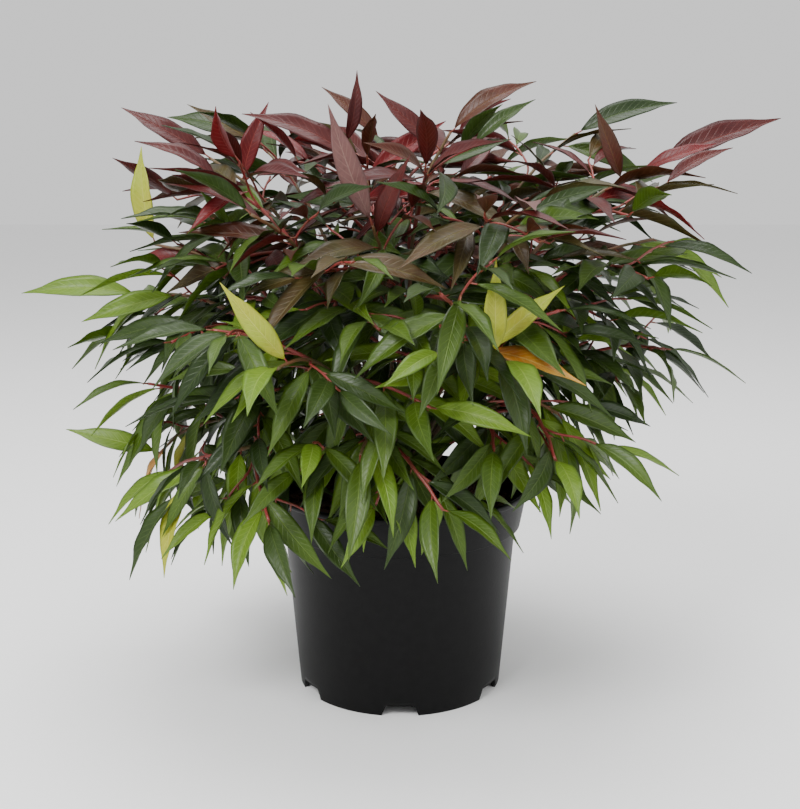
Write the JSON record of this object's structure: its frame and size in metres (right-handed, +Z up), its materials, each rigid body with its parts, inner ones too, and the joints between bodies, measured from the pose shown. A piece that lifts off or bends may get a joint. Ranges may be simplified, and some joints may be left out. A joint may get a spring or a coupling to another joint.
{
  "type": "potted leucothoe",
  "caption": "Low evergreen shrub of arching shoots with long pointed leaves, maroon on top and green below, in a round black nursery pot.",
  "frame": {"origin": "on the ground under the middle of the pot", "axes": "+Z up, -Y out of the front that the picture shows, +X to its right"},
  "size_m": [0.5306, 0.4735, 0.4454],
  "materials": {
    "pot": "black moulded plastic, satin",
    "mix": "dark growing mix with bark chips",
    "bark": "thin brown-green bark",
    "maroon_leaves": "leathery, satin, wine red",
    "bronze_leaves": "leathery, satin, bronze",
    "green_leaves": "leathery, satin, dark green",
    "bright_leaves": "leathery, satin, fresh green"
  },
  "bodies": {
    "root": {"bough_low_back_left": "bark", "bough_low_back_right": "bark", "bough_low_front": "bark", "bough_low_front_left": "bark", "bough_low_front_right": "bark", "bough_low_left": "bark", "bough_low_right": "bark", "bough_middle_back_left": "bark", "bough_middle_back_right": "bark", "bough_middle_front_left": "bark", "bough_middle_front_right": "bark", "bough_middle_left": "bark", "bough_middle_right": "bark", "bough_shoulder_left": "bark", "bough_top_back": "bark", "bough_top_front_left": "bark", "bough_top_right": "bark", "bough_upper_back": "bark", "bough_upper_back_left": "bark", "bough_upper_back_right": "bark", "bough_upper_front": "bark", "bough_upper_front_left": "bark", "bough_upper_front_right": "bark", "bough_upper_left": "bark", "bough_upper_right": "bark", "growing_mix": "mix", "nursery_pot": "pot", "spray_low_back_left": "green_leaves", "spray_low_back_right": "green_leaves", "spray_low_front": "bright_leaves", "spray_low_front_left": "bright_leaves", "spray_low_front_right": "bright_leaves", "spray_low_left": "bright_leaves", "spray_low_right": "green_leaves", "spray_middle_back_left": "green_leaves", "spray_middle_back_right": "green_leaves", "spray_middle_front_left": "green_leaves", "spray_middle_front_right": "green_leaves", "spray_middle_left": "green_leaves", "spray_middle_right": "green_leaves", "spray_shoulder_left": "green_leaves", "spray_top_back": "maroon_leaves", "spray_top_front_left": "maroon_leaves", "spray_top_right": "maroon_leaves", "spray_upper_back": "bronze_leaves", "spray_upper_back_left": "bronze_leaves", "spray_upper_back_right": "bronze_leaves", "spray_upper_front": "bronze_leaves", "spray_upper_front_left": "maroon_leaves", "spray_upper_front_right": "bronze_leaves", "spray_upper_left": "maroon_leaves", "spray_upper_right": "maroon_leaves", "woody_stock": "bark"}
  },
  "joints": []
}
